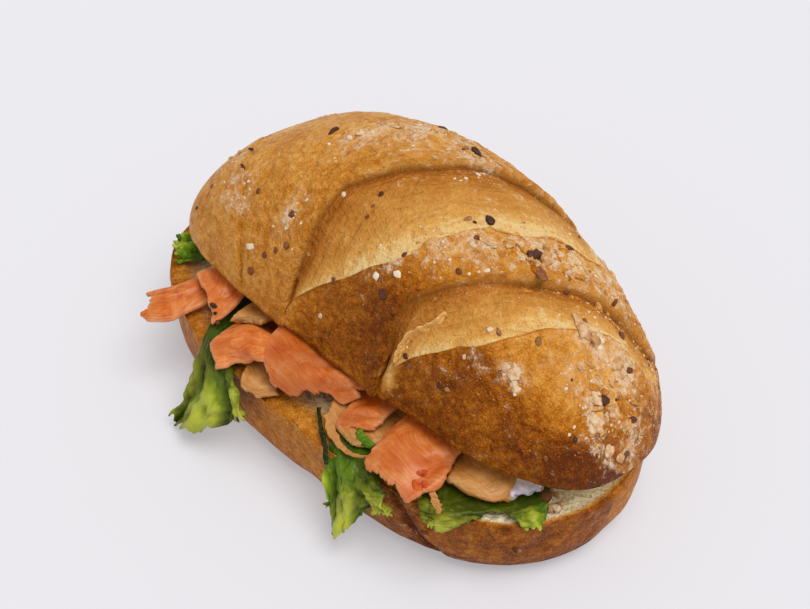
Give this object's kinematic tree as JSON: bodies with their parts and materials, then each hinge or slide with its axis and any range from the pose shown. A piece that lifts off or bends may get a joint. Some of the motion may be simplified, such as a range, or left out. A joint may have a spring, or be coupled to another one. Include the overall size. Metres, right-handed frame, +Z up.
{
  "type": "filled bread roll sandwich",
  "caption": "Slashed, seeded bread roll cut in two and filled with smoked salmon, pale slices, frilly lettuce and a dab of cream, its lid tipped open at the front.",
  "frame": {"origin": "centre of the flat underside of the bottom half", "axes": "+X along the roll, -Y towards the open front where the fillings show, +Z up"},
  "size_m": [0.1758, 0.1159, 0.089],
  "materials": {
    "crust_base": "baked crust with a pale cut crumb",
    "crust_lid": "baked crust, slightly glossy, dusted with flour and seeds",
    "salmon": "moist smoked salmon",
    "pale_slice": "moist pale cooked slice",
    "lettuce": "waxy leaf",
    "cream": "soft cream"
  },
  "bodies": {
    "root": {"bun_base": "crust_base", "bun_lid": "crust_lid", "salmon_front": "salmon", "salmon_long_left": "salmon", "salmon_long_right": "salmon", "salmon_middle": "salmon", "salmon_left_fold": "salmon", "salmon_left_tip": "salmon", "pale_slice_right": "pale_slice", "pale_slice_middle": "pale_slice", "pale_slice_left": "pale_slice", "pale_slice_lobe": "pale_slice", "cream_dab": "cream", "lettuce_left_front": "lettuce", "lettuce_centre": "lettuce", "lettuce_right": "lettuce", "lettuce_left_end": "lettuce"}
  },
  "joints": []
}
